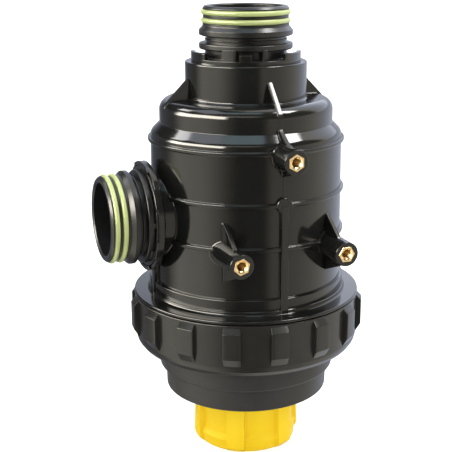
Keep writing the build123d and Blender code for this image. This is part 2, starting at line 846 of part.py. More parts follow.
def cartridge_cage():
    """The plastic cage of the screen: a tube with rows of windows between its bars and hoops."""
    foot_top = cage_z + cage_foot_h
    head_low = cage_top_z - cage_head_h
    body = ring(cage_r - cage_wall_t, cage_r, cage_z, cage_top_z)
    body += ring(hub_r + cage_gap, cage_r - cage_wall_t / 2, cage_z, foot_top)
    body += ring(screen_tube_r + cage_gap, cage_r - cage_wall_t / 2, head_low, cage_top_z)
    row_h = (head_low - foot_top + hoop_h) / (cage_hoops + 1)
    half = 180 / cage_bars - degrees(asin(cage_bar_w / 2 / cage_r))
    windows = []
    for row in range(cage_hoops + 1):
        low = foot_top + row * row_h
        for number in range(cage_bars):
            middle = 360 / cage_bars * (number + 0.5)
            inner = cage_r - 2 * cage_wall_t
            windows.append(block_of_ring(inner, cage_r + past, low, low + row_h - hoop_h, middle, half))
    return body - windows


def cartridge_mesh():
    """The screen: a thin sleeve pierced by rows of upright slits, clear of the bars outside it."""
    low = cage_z + cage_foot_h
    high = cage_top_z - cage_head_h
    outer = cage_r - cage_wall_t - screen_gap
    sleeve = ring(outer - screen_t, outer, low, high)
    row_h = (high - low - slit_edge) / slit_rows
    tools = []
    for row in range(slit_rows):
        middle = low + slit_edge + row * row_h + (row_h - slit_edge) / 2
        for column in range(slit_columns):
            slot = Pos(outer, 0, middle) * Box(4 * screen_t, slit_w, row_h - slit_edge)
            tools.append(Rot(0, 0, 360 / slit_columns * (column + 0.5)) * slot)
    return sleeve - tools


def build():
    """Every node by name."""
    nodes = {"housing": housing()}
    seal = rubber_ring(tip_seal_r, seal_d)
    plug_seal = rubber_ring(bore_r - ring_gap, plug_seal_d - ring_gap)
    plug_seal_z = plug_groove_z + (plug_seal_d + 0.7) / 2
    face_seal = rubber_ring(face_groove_in_r + (face_groove_w + face_seal_d) / 2, face_seal_d)
    face_seal_z = side_flange_z + ring_gap + face_seal_d / 2
    nodes["top_spigot"] = in_top_port(top_spigot())
    nodes["side_spigot"] = in_side_port(side_spigot())
    nodes["top_spigot_body_seal"] = in_top_port(Pos(0, 0, plug_seal_z) * plug_seal)
    nodes["side_spigot_body_seal"] = in_side_port(Pos(0, 0, face_seal_z) * face_seal)
    for side, place in (("top", in_top_port), ("side", in_side_port)):
        nodes[side + "_spigot_seal_inner"] = place(Pos(0, 0, seal_zs[0]) * seal)
        nodes[side + "_spigot_seal_outer"] = place(Pos(0, 0, seal_zs[1]) * seal)
    for name, (x, z, drop, turn) in zip(("top", "right", "left"), mount_spots()):
        nodes["mounting_insert_" + name] = mounting_insert(x, z, turn)
    nodes["ring_nut"] = ring_nut()
    nodes["bowl"] = bowl()
    bowl_seal_z = skirt_z + bowl_spigot_h / 2
    nodes["bowl_seal"] = Pos(0, 0, bowl_seal_z) * rubber_ring(skirt_bore_r - ring_gap, bowl_seal_d)
    nodes["valve_knob"] = valve_knob()
    nodes["knob_seal"] = knob_seal()
    nodes["stem_clip"] = stem_clip()
    nodes["valve_stem"] = valve_stem()
    nodes["valve_guide"] = valve_guide()
    nodes["valve_disc"] = valve_disc()
    nodes["valve_disc_seal"] = valve_disc_seal()
    nodes["valve_spring"] = valve_spring()
    nodes["cartridge_cage"] = cartridge_cage()
    nodes["cartridge_mesh"] = cartridge_mesh()
    over_tube = screen_tube_r + cage_gap
    over_hub = hub_r + cage_gap
    nodes["cartridge_top_gasket"] = ring(over_tube, cage_r - gasket_inset, cage_top_z, ceiling_z)
    nodes["cartridge_bottom_gasket"] = ring(over_hub, over_hub + gasket_low_w, bowl_floor_z, cage_z)
    return nodes


os.makedirs("parts", exist_ok=True)
for name, solid in build().items():
    export_step(solid, os.path.join("parts", name + ".step"))
    print(name, len(solid.solids()), round(solid.volume / 1000, 1), "cm3")
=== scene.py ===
from math import ceil, cos, pi, radians, sin, tan

import bpy
import numpy as np
from mathutils import Matrix, Vector


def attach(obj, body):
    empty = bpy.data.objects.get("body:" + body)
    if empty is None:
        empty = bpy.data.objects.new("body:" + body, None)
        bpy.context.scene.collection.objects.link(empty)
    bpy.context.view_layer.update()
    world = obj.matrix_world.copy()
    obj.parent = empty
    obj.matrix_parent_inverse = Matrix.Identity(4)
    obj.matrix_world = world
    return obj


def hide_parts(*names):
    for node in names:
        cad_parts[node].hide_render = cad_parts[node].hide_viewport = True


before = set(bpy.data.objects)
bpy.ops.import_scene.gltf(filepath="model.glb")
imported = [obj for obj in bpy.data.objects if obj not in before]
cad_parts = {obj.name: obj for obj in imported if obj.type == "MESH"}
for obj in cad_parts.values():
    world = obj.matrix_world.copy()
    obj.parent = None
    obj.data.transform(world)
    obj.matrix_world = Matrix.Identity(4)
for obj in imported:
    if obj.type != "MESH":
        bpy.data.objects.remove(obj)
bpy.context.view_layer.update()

# Sizes are in millimetres here and become metres when a mesh is made. Directions round the main
# axis are counted from -Y, where the mounting bosses face, towards +X.
MM = 0.001
TAU = 2 * pi
sharp_angle = 32.0

# Levels and radii of the housing
skirt_z = 88.0
flange_z = 117.3
flange_t = 2.2
ledge_z = 122.5
wall_z = 130.4
wall_top_z = 234.0
upper_z = 241.0
shoulder_z = 257.1
boss_z = 257.9
boss_top_z = 283.3
plug_seat_z = 272.9
seat_floor_z = 256.4
ceiling_z = 252.4
skirt_r = 76.0
skirt_bore_r = 71.0
flange_r = 82.2
body_low_r = 68.4
body_top_r = 67.6
upper_r = 61.1
upper_face_r = upper_r + 0.1
wall_t = 4.0
band_proud = 2.3
ledge_proud = 0.7
bevel_round = 6.0
shoulder_round = 8.0
boss_r = 42.6
bore_r = 35.4
guide_rim_t = 2.0
seat_wall_r = 33.5
seat_bore_r = 24.0
seat_bead_w = 2.5
seat_bead_h = 1.0
screen_tube_r = 44.0
screen_tube_t = 4.0
screen_tube_h = 14.5

# Hoops, by how far they lie under the top of the wall, upright ribs, round pad and gussets
rib_drops = (4.3, 39.2, 69.2)
rib_t = 3.0
rib_proud = 2.0
middle_hoop_z = wall_top_z - rib_drops[1]
front_rib = (5.2, 2.9, 0.8)  # width, how proud, and how much prouder over the ledge
thin_line_top_z = 227.0
slim_rib_top_z = 251.0
pad_r = 5.6
pad_proud = 2.4
gusset_t = 3.5
gusset_rise = 15.0
gusset_end_drop = 2.8
across_front = (1.0, 0.0, 0.0)

# Low walls round the spigots' plugs, with taller lugs by middle and half width in degrees
crown_t = 2.9
crown_low = 2.8
crown_high = 7.0
crown_lugs = ((-90, 22), (45, 22), (157.5, 22), (-22, 6))
side_crown_low = 1.8
side_crown_high = 3.2
side_lugs = ((90, 26), (29, 12), (-27, 12), (-90, 22), (180, 20))

# Side port, measured from the main axis along -X
side_z = 178.7
side_origin_reach = 59.2
side_flare_reach = 70.2
side_pocket_reach = 74.2
side_plate_reach = 75.0
side_neck_r = 29.0
side_neck_bore_r = 26.8
side_plate_r = 38.3

# Mounting bosses: name, angle on their circle from the top towards +X, rise and drop of the fins,
# turn of the hexagon
mounts = (("top", 0, 17.5, 13.4, 0), ("right", 120, 21.6, 19.5, 30), ("left", 240, 21.6, 19.5, 12))
mount_pcd = 86.6
mount_z = 183.9
mount_reach = 87.8
barrel_r = 8.3
fin_t = 2.8
fin_setback = 11.3
fin_back = 3.4
insert_flats = 10.4
insert_l = 14.0
insert_mouth = 0.75
insert_edge = 0.25
insert_pitch = 1.25
insert_ridge = 0.45
bolt_r = 3.4
bolt_depth = 18.0

# Spigots and their rubber rings, from the seat of the plug up: two collars with the fork's groove
# between them, a cone, and two grooves for the rings
plug_l = 13.0
collar_z = 18.7
fork_z = 22.9
fork_rib_z = 24.7
fork_rib_h = 1.1
outer_collar_z = 27.6
cone_z = 31.6
cone_top_z = 34.4
groove_z = 36.1
second_groove_z = 41.8
groove_w = 3.8
spigot_l = 47.8
plug_r = 35.3
plug_bore_r = 31.0
plug_groove_r = 33.0
neck_out_r = 28.4
collar_r = 32.6
fork_r = 27.4
fork_rib_r = 28.6
groove_r = 27.45
spigot_r = 30.0
spigot_bore_r = 25.2
seal_r = 31.0
seal_d = 3.5

# Ring nut, bowl and knob
nut_z = 79.3
nut_seat_z = 83.7
nut_top_z = 116.5
nut_bore_r = 78.2
nut_r = 81.7
nut_pitch = 6.0
nut_ridge = 1.9
grips = 16
grip_w = 12.1
grip_proud = 3.6
grip_turn = 16.7
rim_z = 43.5
step_z = 60.5
bowl_low_r = 59.6
bowl_high_r = 64.8
bowl_flange_r = 75.5
bowl_groove_z = 94.1
bowl_groove_w = 3.8
bowl_groove_r = 67.9
well_r = 55.5
hub_r = 24.0
neck_z = 6.0
neck_r = 27.0
neck_bore_r = 20.5
knob_pitch = 12.0
knob_bore_r = 28.5
knob_plug_r = 20.2
knob_plug_top_z = 34.0
knob_groove_r = 18.0
knob_groove_z = 27.2
knob_groove_w = 2.4
recess_in_r = 12.0
recess_out_r = 26.0
recess_h = 1.2
socket_z = 10.0
socket_r = 9.2
clip_z = 13.2
clip_w = 1.1
clip_r = 10.1
knob_h = 40.0
knob_r = 35.0
knob_foot_round = 5.0
knob_top_round = 0.8
lobe_r = 39.7
lobe_taper = 1.5
lobe_half = 11.0
lobe_turn = 26.3


# Outlines and grids

def rounded(corners, turn=9.0):
    """Closed outline through corners (a, b, radius). An arc that touches both sides takes the place
    of each corner that has a radius, with a point just past each end to hold the flats flat."""
    spots = np.array([corner[:2] for corner in corners], float)
    parts = []
    for number, corner in enumerate(corners):
        here = spots[number]
        if len(corner) < 3:
            parts.append(here[None])
            continue
        size = corner[2]
        back = spots[number - 1] - here
        on = spots[(number + 1) % len(spots)] - here
        back /= np.hypot(*back)
        on /= np.hypot(*on)
        half = 0.5 * np.arccos(np.clip(back @ on, -1, 1))
        centre = here + (back + on) / np.hypot(*(back + on)) * size / sin(half)
        start = (here + back * size / tan(half) - centre) / size
        end = (here + on * size / tan(half) - centre) / size
        sweep = pi - 2 * half
        t = np.linspace(0, 1, max(2, ceil(sweep / radians(turn))) + 1)[:, None]
        arc = np.sin((1 - t) * sweep) * start + np.sin(t * sweep) * end
        arc = centre + size * arc / sin(sweep)
        hold = 0.05 + 0.05 * size
        parts.append(np.vstack([arc[:1] + back * hold, arc, arc[-1:] + on * hold]))
    return np.vstack(parts)


def inset(corners, depth):
    """Counterclockwise corners with every side moved inwards by depth; radii shrink with it."""
    spots = np.array([corner[:2] for corner in corners], float)
    along = np.roll(spots, -1, axis=0) - spots
    along /= np.hypot(along[:, :1], along[:, 1:])
    normal = np.stack([-along[:, 1], along[:, 0]], axis=1)
    before = np.roll(normal, 1, axis=0)
    spread = 1 + (before * normal).sum(axis=1, keepdims=True)
    shifted = spots + depth * (before + normal) / spread
    return [(*spot, max(corner[2] - depth, 0.04)) if len(corner) > 2 else tuple(spot)
            for spot, corner in zip(shifted, corners)]


def skin(grid, wrap_rows=False):
    """Shell over a grid of points, rows x around x 3, closed around. Faces are turned outwards,
    so that the volumes between them and the origin add up to more than nothing."""
    rows, around = grid.shape[:2]
    i = np.arange(rows if wrap_rows else rows - 1)[:, None]
    j = np.arange(around)[None]
    on = (i + 1) % rows
    beside = (j + 1) % around
    low, high = i * around, on * around
    quads = np.stack([low + j, low + beside, high + beside, high + j], -1).reshape(-1, 4)
    points = grid.reshape(-1, 3)
    a, b, c, d = (points[quads[:, k]] for k in range(4))
    volume = (np.cross(b - a, c - a) * a).sum() + (np.cross(c - a, d - a) * a).sum()
    return points, quads if volume > 0 else quads[:, ::-1]


def capped(grid):
    """The same grid with a row gathered in one point before its first row and after its last."""
    first = np.broadcast_to(grid[:1].mean(axis=1, keepdims=True), grid[:1].shape)
    last = np.broadcast_to(grid[-1:].mean(axis=1, keepdims=True), grid[-1:].shape)
    return np.concatenate([first, grid, last])


def polar(r, angle, z):
    """Points by radius, angle and height about Z."""
    return np.stack(np.broadcast_arrays(r * np.cos(angle), r * np.sin(angle), z), -1)


def lathe(outline, segments=192):
    """Closed outline of (radius, height) turned about Z."""
    angle = np.linspace(0, TAU, segments, endpoint=False)[:, None]
    r, z = outline.T
    return skin(polar(r, angle, z), wrap_rows=True)


def web(base, tip, across, half, flare, edge, sink=1.2):
    """Thin web from a line on what carries it to its free edge. Across it, each side leaves the
    wall on a hollow quarter circle (flare) and turns over the edge on a round one."""
    base, tip, across = (np.asarray(v, float) for v in (base, tip, across))
    up = tip - base
    length = np.linalg.norm(up, axis=1, keepdims=True)
    up = up / np.maximum(length, 1e-6)
    scale = np.minimum(1, length / (flare + edge))
    t = np.linspace(0, pi / 2, 6)
    foot_a, foot_b = flare * (1 - np.cos(t)), half + flare * (1 - np.sin(t))
    top_a, top_b = -edge * (1 - np.sin(t)), half - edge * (1 - np.cos(t))
    a = np.concatenate([scale * foot_a, length + scale * top_a], axis=1)
    b = np.concatenate([half + scale * (foot_b - half), half + scale * (top_b - half)], axis=1)
    a = np.concatenate([-sink + 0 * a[:, :1], a], axis=1)
    b = np.concatenate([b[:, :1], b], axis=1)
    a = np.concatenate([a, a[:, ::-1]], axis=1)[..., None]
    b = np.concatenate([b, -b[:, ::-1]], axis=1)[..., None]
    return skin(capped(base[:, None] + up[:, None] * a + across * b))


def thread(root, crest, pitch, foot, top, low, high, starts=1, turned=0.0):
    """Screw ridge: a trapezium, foot wide at the root radius and top wide at the crest, that
    climbs a pitch a turn and fades into the wall over its first and last thirty degrees."""
    turns = (high - low) / pitch
    angle = np.linspace(0, TAU * turns, int(96 * turns))[:, None]
    fade = np.clip(np.minimum(angle, TAU * turns - angle) / radians(30), 0.02, 1)
    under = root - 0.3 * np.sign(crest - root) + 0 * angle
    wall = root + 0 * angle
    ridge = root + fade * (crest - root)
    r = np.concatenate([under, wall, ridge, ridge, wall, under], axis=1)
    z = np.array([-foot, -foot, -top, top, foot, foot]) / 2 + low + pitch * angle / TAU
    shells = []
    for start in range(starts):
        shells.append(skin(capped(polar(r, angle + turned + TAU * start / starts, z))))
    return shells


def in_side_port(shells, reach=side_origin_reach):
    """Shells of the port's own frame laid along -X, reach from the main axis."""
    return [(np.stack([-p[:, 2] - reach, p[:, 1], p[:, 0] + side_z], -1), q) for p, q in shells]


def piece(name, shells, body, material, nodes, crease=sharp_angle):
    """One object from closed shells: points in the same place become one, and a face that they
    thin to a triangle keeps three corners. It rides on a body and stands for the nodes named."""
    starts = np.cumsum([0] + [len(points) for points, _ in shells[:-1]])
    points = np.vstack([points for points, _ in shells])
    quads = np.vstack([faces + start for (_, faces), start in zip(shells, starts)])
    key = np.round(points * 1e4).astype(np.int64)
    _, first, place = np.unique(key, axis=0, return_index=True, return_inverse=True)
    quads = place.reshape(-1)[quads]
    keep = quads != np.roll(quads, 1, axis=1)
    corners = keep.sum(axis=1)
    real = corners > 2
    loops = quads[real][keep[real]].astype(np.int32)
    mesh = bpy.data.meshes.new(name)
    mesh.vertices.add(len(first))
    mesh.vertices.foreach_set("co", (points[first] * MM).astype(np.float32).ravel())
    mesh.loops.add(len(loops))
    mesh.loops.foreach_set("vertex_index", loops)
    mesh.polygons.add(int(real.sum()))
    ends = np.cumsum(corners[real])
    mesh.polygons.foreach_set("loop_start", (ends - corners[real]).astype(np.int32))
    mesh.update(calc_edges=True)
    mesh.validate()
    mesh.shade_smooth()
    mesh.set_sharp_from_angle(angle=radians(crease))
    mesh.materials.append(material)
    made = bpy.data.objects.new(name, mesh)
    bpy.context.scene.collection.objects.link(made)
    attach(made, body)
    if nodes:
        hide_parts(*nodes)
    return made


# Materials

class Wire:
    """A number on its way through a material. Python's operators on it add Math nodes."""

    def __init__(self, tree, socket):
        self.tree = tree
        self.socket = socket

    def maths(self, operation, *values):
        return node(self.tree, "ShaderNodeMath", {"operation": operation}, dict(enumerate(values)))

    def __add__(self, other):
        return self.maths("ADD", self, other)

    def __sub__(self, other):
        return self.maths("SUBTRACT", self, other)

    def __rsub__(self, other):
        return self.maths("SUBTRACT", other, self)

    def __mul__(self, other):
        return self.maths("MULTIPLY", self, other)

    __radd__ = __add__
    __rmul__ = __mul__

    def ramp(self, low, high, start=0.0, end=1.0):
        """Smooth step from start to end as the number goes from low to high."""
        return node(self.tree, "ShaderNodeMapRange", {"interpolation_type": "SMOOTHSTEP"},
                    {"Value": self, "From Min": low, "From Max": high, "To Min": start,
                     "To Max": end})


def node(tree, kind, settings=None, sockets=None, out=0):
    """Any node by its type: settings first, then the values or wires of its sockets. What comes
    back is the wire of one output, by its number or its name."""
    made = tree.nodes.new(kind)
    for name, value in (settings or {}).items():
        setattr(made, name, value)
    for name, value in (sockets or {}).items():
        if isinstance(value, Wire):
            tree.links.new(value.socket, made.inputs[name])
        else:
            made.inputs[name].default_value = value
    return Wire(tree, made.outputs[out])


def blended(tree, amount, first, second):
    """Colour between two, by an amount from 0 to 1."""
    return node(tree, "ShaderNodeMix", {"data_type": "RGBA"}, {0: amount, 6: first, 7: second},
                out=2)


def noise(tree, scale, detail=2.0, rough=0.5):
    """Noise over the object's own coordinates, which are metres."""
    where = node(tree, "ShaderNodeTexCoord", out=3)
    return node(tree, "ShaderNodeTexNoise", {}, {"Vector": where, "Scale": scale,
                                                 "Detail": detail, "Roughness": rough})


def finish_of(name, colour, shade, roughness, spread, grain, depth, constants=None):
    """Surface with slow drifts of colour and gloss and a fine grain: colour drifts towards shade
    over about 20 mm, roughness by spread over 30 mm, and a bump of the depth given repeats every
    grain mm."""
    material = bpy.data.materials.new(name)
    material.use_nodes = True
    tree = material.node_tree
    surface = tree.nodes["Principled BSDF"]
    for socket, value in (constants or {}).items():
        surface.inputs[socket].default_value = value
    drift = noise(tree, 1 / (20 * MM)).ramp(0.3, 0.7)
    gloss = noise(tree, 1 / (30 * MM), detail=4.0)
    fine = noise(tree, 1 / (grain * MM), detail=3.0, rough=0.6)
    base = blended(tree, drift, (*colour, 1), (*shade, 1))
    rough = roughness + spread * (gloss - 0.5) + 0.3 * spread * (fine - 0.5)
    bump = node(tree, "ShaderNodeBump", {}, {"Strength": 1.0, "Distance": depth * MM,
                                             "Height": fine})
    tree.links.new(base.socket, surface.inputs["Base Color"])
    tree.links.new(rough.socket, surface.inputs["Roughness"])
    tree.links.new(bump.socket, surface.inputs["Normal"])
    return material


housing_black = finish_of("housing_black", (0.0066, 0.0066, 0.0057), (0.0080, 0.0078, 0.0068),
                          0.13, 0.05, 0.5, 0.003)
spigot_black = finish_of("spigot_black", (0.0070, 0.0070, 0.0066), (0.0090, 0.0088, 0.0084),
                         0.31, 0.08, 0.5, 0.004)
nut_black = finish_of("nut_black", (0.0145, 0.0138, 0.0118), (0.0170, 0.0162, 0.0138),
                      0.24, 0.07, 0.5, 0.005, {"Specular IOR Level": 0.40})
bowl_black = finish_of("bowl_black", (0.0290, 0.0283, 0.0264), (0.0330, 0.0321, 0.0300),
                       0.38, 0.08, 0.45, 0.008, {"Specular IOR Level": 0.22})
knob_yellow = finish_of("knob_yellow", (0.84, 0.570, 0.016), (0.87, 0.60, 0.022),
                        0.36, 0.08, 0.6, 0.008, {"Specular IOR Level": 0.08})
seal_green = finish_of("seal_green", (0.33, 0.38, 0.125), (0.36, 0.41, 0.145),
                       0.42, 0.10, 0.4, 0.006, {"Specular IOR Level": 1.0})
seal_black = finish_of("seal_black", (0.016, 0.016, 0.016), (0.022, 0.022, 0.022),
                       0.48, 0.10, 0.4, 0.006)
brass = finish_of("brass", (0.92, 0.68, 0.36), (0.96, 0.74, 0.42),
                  0.24, 0.10, 0.25, 0.003, {"Metallic": 1.0})
stainless = finish_of("stainless", (0.60, 0.60, 0.61), (0.66, 0.66, 0.66),
                      0.26, 0.08, 0.2, 0.003, {"Metallic": 1.0})
inner_plastic = finish_of("inner_plastic", (0.52, 0.52, 0.50), (0.58, 0.58, 0.56),
                          0.42, 0.08, 0.5, 0.008)
cage_blue = finish_of("cage_blue", (0.05, 0.14, 0.40), (0.06, 0.17, 0.45),
                      0.40, 0.08, 0.5, 0.008)


# Housing

def wall_at(z):
    """Radius of the housing's outer wall at a height."""
    return np.interp(z, [wall_z, wall_top_z, upper_z, shoulder_z],
                     [body_low_r, body_top_r, upper_face_r, upper_face_r])


def hoop(drop):
    """Corners of one hoop in the turned outline, with a small hollow where it leaves the wall."""
    z = wall_top_z - drop
    r = wall_at(z)
    low, high = z - rib_t / 2, z + rib_t / 2
    return [(r, low, 0.5), (r + rib_proud, low, 1.2), (r + rib_proud, high, 0.8), (r, high, 0.4)]


def housing_section():
    """Corners of the whole turned section: up the outside, over the top boss and down inside."""
    flange_top = flange_z + flange_t
    band_r = body_low_r + band_proud
    rim_seat_z = plug_seat_z - guide_rim_t
    bead_r, bead_z = seat_bore_r + seat_bead_w, seat_floor_z + seat_bead_h
    tube_bore_r, tube_z = screen_tube_r - screen_tube_t, ceiling_z - screen_tube_h
    corners = [(skirt_bore_r, skirt_z, 0.6), (skirt_r, skirt_z, 0.6), (skirt_r, flange_z),
               (flange_r, flange_z, 0.8), (flange_r - 0.4, flange_top, 0.9),
               (band_r + ledge_proud + 0.2, flange_top + 0.2, 1.6),
               (band_r + ledge_proud, ledge_z - 0.4, 0.5), (band_r, ledge_z, 0.25),
               (band_r, wall_z, 0.8), (body_low_r, wall_z, 0.3)]
    for drop in reversed(rib_drops):
        corners += hoop(drop)
    corners += [(body_top_r, wall_top_z + 0.9, bevel_round), (upper_face_r, upper_z + 0.3, 0.6),
                (upper_face_r, boss_z, shoulder_round), (boss_r, boss_z, 1.5),
                (boss_r, boss_top_z, 1.0), (bore_r, boss_top_z, 0.3), (bore_r, rim_seat_z),
                (seat_wall_r, rim_seat_z), (seat_wall_r, seat_floor_z, 0.5),
                (bead_r, seat_floor_z), (bead_r, bead_z, 0.3), (seat_bore_r, bead_z, 0.3),
                (seat_bore_r, ceiling_z), (tube_bore_r, ceiling_z), (tube_bore_r, tube_z, 0.5),
                (screen_tube_r, tube_z, 0.5), (screen_tube_r, ceiling_z),
                (upper_r - wall_t, ceiling_z, 3.0), (upper_r - wall_t, upper_z, 1.0),
                (body_top_r - wall_t, wall_top_z, 1.0), (body_low_r - wall_t, wall_z - 2.0, 1.0),
                (skirt_bore_r, flange_z, 1.0)]
    return corners


def standing_boss(radius, flare, wall, front, segments, start=0.0):
    """Round boss out of a curved wall. Near the wall its radius swells on a hollow quarter circle
    that starts on the wall itself; front gives the rest of its section, as rows of radius and
    distance out, either of which may be a function. Points are (across, up, out)."""
    angle = np.linspace(0, TAU, segments, endpoint=False) + start
    h = flare * (1 - np.cos(np.linspace(0, pi / 2, 7)))
    swell = flare - np.sqrt(np.maximum(flare**2 - (flare - h) ** 2, 0))
    r = (radius + swell)[:, None] + 0 * angle
    u, v = r * np.cos(angle), r * np.sin(angle)
    w = wall(u, v) + h[:, None]
    rows = [np.stack([u[:1], v[:1], w[:1] - 2.0], -1), np.stack([u, v, w], -1)]
    for size, out in front:
        size = size(angle) if callable(size) else size + 0 * angle
        u, v = size * np.cos(angle), size * np.sin(angle)
        rows.append(np.stack([u, v, out(u, v) if callable(out) else out + 0 * angle], -1)[None])
    return np.concatenate(rows)


def out_of_front(grid, x, z):
    """Points (across, up, out) laid at a place on the front, where out is -Y."""
    u, v, w = np.moveaxis(grid, -1, 0)
    return np.stack([x + u, -w, z + v], -1)


def arc_rows(radius, out, size):
    """Rows that turn a boss's outer edge over on a quarter circle, ending on its face."""
    return [(radius - size * (1 - cos(t)), out - size * (1 - sin(t)))
            for t in np.linspace(0, pi / 2, 5)]


def mount_spots():
    """The bosses on their circle: name, x, z, rise and drop of the fins, turn of the hexagon."""
    for name, angle, rise, drop, turn in mounts:
        across, up = sin(radians(angle)), cos(radians(angle))
        yield name, mount_pcd / 2 * across, mount_z + mount_pcd / 2 * up, rise, drop, turn


def hexagon(turn, flats=insert_flats):
    """Radius of a hexagon by angle: half its flats over the cosine of the angle to a flat."""
    def radius(angle):
        return flats / 2 / np.cos((angle + radians(30 + turn)) % (pi / 3) - pi / 6)
    return radius


def mount_boss(x, z, rise, drop, turn):
    """Barrel with its hexagonal pocket, and a fin above and below it."""
    def wall(u, v):
        return np.sqrt(wall_at(z + v) ** 2 - (x + u) ** 2)

    pocket = hexagon(turn)
    pocket_end, bolt_end = mount_reach - insert_l, mount_reach - bolt_depth
    front = [(barrel_r, mount_reach - 8.0), *arc_rows(barrel_r, mount_reach, 0.45),
             (pocket, mount_reach), (pocket, pocket_end), (bolt_r, pocket_end),
             (bolt_r, bolt_end), (0.0, bolt_end)]
    grid = standing_boss(barrel_r, 1.0, wall, front, 96, -radians(30 + turn))
    shells = [skin(capped(out_of_front(grid, x, z)))]
    high = np.linspace(z + rise, z + 3.0, 40)
    out_high = np.interp(high, [z + barrel_r, z + rise],
                         [mount_reach - fin_setback, wall(0.0, rise)])
    low = np.linspace(z - 3.0, z - drop, 40)
    out_low = np.interp(low, [z - drop, z - barrel_r],
                        [wall(0.0, -drop), mount_reach - fin_back])
    for level, out in ((high, out_high), (low, out_low)):
        flat = np.full(len(level), x)
        base = np.stack([flat, -wall(0.0, level - z), level], -1)
        tip = np.stack([flat, -np.maximum(out, -base[:, 1] + 0.02), level], -1)
        shells.append(web(base, tip, across_front, fin_t / 2, 0.9, 0.5, sink=2.0))
    return shells


def upright_rib(top, width, proud, foot=0.0, low=flange_z + flange_t - 0.4):
    """Rib up the front of the wall. Its face follows the wall. From the ledge down it stands
    further out by foot, which goes back to nothing up to the top of the band."""
    z = np.linspace(low, top, 60)
    if low < wall_z:
        z = np.concatenate([np.linspace(low, ledge_z, 6), np.linspace(ledge_z + 0.3, wall_z, 10),
                            np.linspace(wall_z + 0.5, top, 60)])
    face = -wall_at(z)
    step = np.interp(z, [ledge_z, wall_z], [foot, 0.0])
    base = np.stack([0 * z, face + 0.1, z], -1)
    tip = np.stack([0 * z, face - proud - step, z], -1)
    return web(base, tip, across_front, width / 2, 0.3, 0.5, sink=1.5)


def turned_by(shell, degrees_round):
    """A shell turned about the main axis."""
    points, quads = shell
    a = radians(degrees_round)
    x, y, z = points.T
    return np.stack([x * cos(a) - y * sin(a), x * sin(a) + y * cos(a), z], -1), quads


def gate_pad():
    """Round raised pad on the middle hoop, turned about its own axis, which points out."""
    face = wall_at(middle_hoop_z) + pad_proud
    outline = rounded([(0, face - 5), (pad_r, face - 5), (pad_r, face, 0.8), (0, face)])
    points, quads = lathe(outline, 72)
    return out_of_front(points, 0.0, middle_hoop_z), quads[:, ::-1]


def gusset():
    """Three-cornered web between the top boss and the upper wall. Its foot follows the round of the
    shoulder and its free edge ends in a short upright."""
    end_r = upper_r - 0.3
    r = np.concatenate([np.linspace(boss_r - 0.5, end_r - 0.1, 40), [end_r]])
    over = np.clip(r - upper_face_r + shoulder_round, 0, shoulder_round - 0.01)
    round_z = boss_z - shoulder_round + np.sqrt(shoulder_round**2 - over**2)
    base_z = np.minimum(np.where(r < boss_r + 1.5, boss_z, round_z), boss_z)
    tip_z = np.interp(r, [boss_r, end_r], [boss_z + gusset_rise, shoulder_z - gusset_end_drop])
    tip_z[-1] = base_z[-1] + 0.05
    base = np.stack([0 * r, -r, base_z - 0.1], -1)
    tip = np.stack([0 * r, -r, tip_z], -1)
    return web(base, tip, across_front, gusset_t / 2, 0.7, 0.2, sink=1.5)


def low_collar(base, high):
    """Low wall round the top spigot's plug."""
    outer = bore_r + crown_t
    return lathe(rounded([(bore_r, base - 0.5), (outer, base - 0.5), (outer, base + high, 0.4),
                          (bore_r, base + high, 0.4)]))


def lugs(base, high, spots):
    """Taller lugs with rounded rims on the wall round a spigot, by middle and half width in
    degrees. Their faces lie just inside those of the wall."""
    inner, outer = bore_r + 0.02, bore_r + crown_t - 0.02
    corners = [(inner, base), (outer, base), (outer, base + high, 0.5), (inner, base + high, 0.5)]
    return [ring_block(corners, radians(half) * (inner + outer), 0.4, middle)
            for middle, half in spots]


def ring_block(corners, width, edge, middle):
    """Prism bent round the axis, with enough rows along its width to follow the curve."""
    quarter = np.linspace(0, pi / 2, 5)
    near = [(edge * (1 - sin(t)), edge * (1 - cos(t)) - width / 2) for t in quarter]
    far = [(depth, -w) for depth, w in reversed(near)]
    inner_rows = np.linspace(edge - width / 2, width / 2 - edge, max(2, int(width / 2.0)))[1:-1]
    between = [(0.0, w) for w in inner_rows]
    rows = []
    for depth, w in near + between + far:
        outline = rounded(inset(corners, depth))
        rows.append(np.stack([*outline.T, np.full(len(outline), w)], -1))
    r, z, w = np.moveaxis(np.stack(rows), -1, 0)
    return skin(capped(polar(r, radians(middle) - pi / 2 + w / r.mean(), z)))


def side_boss():
    """Neck of the side port out of the body wall, its flared plate with the pocket, its bore."""
    def wall(u, v):
        return np.sqrt(wall_at(side_z + v) ** 2 - u**2)

    def inside(u, v):
        return np.sqrt((wall_at(side_z + v) - wall_t) ** 2 - u**2)

    rim = side_plate_reach + side_crown_low
    near = side_flare_reach - 5.2
    flare = rounded([(side_neck_r, near), (side_neck_r, side_flare_reach, 0.8),
                     (side_plate_r, side_flare_reach + 3.0, 0.3), (side_plate_r, rim, 0.4),
                     (bore_r, rim, 0.3), (bore_r, side_pocket_reach),
                     (side_neck_bore_r, side_pocket_reach, 0.3), (side_neck_bore_r, near)])
    front = [tuple(point) for point in flare[1:-1]]
    front += [(side_neck_bore_r, inside), (side_neck_r - 0.4, lambda u, v: inside(u, v) + 0.3)]
    u, v, w = np.moveaxis(standing_boss(side_neck_r, 1.4, wall, front, 216), -1, 0)
    return skin(np.stack([-w, u, side_z + v], -1), wrap_rows=True)


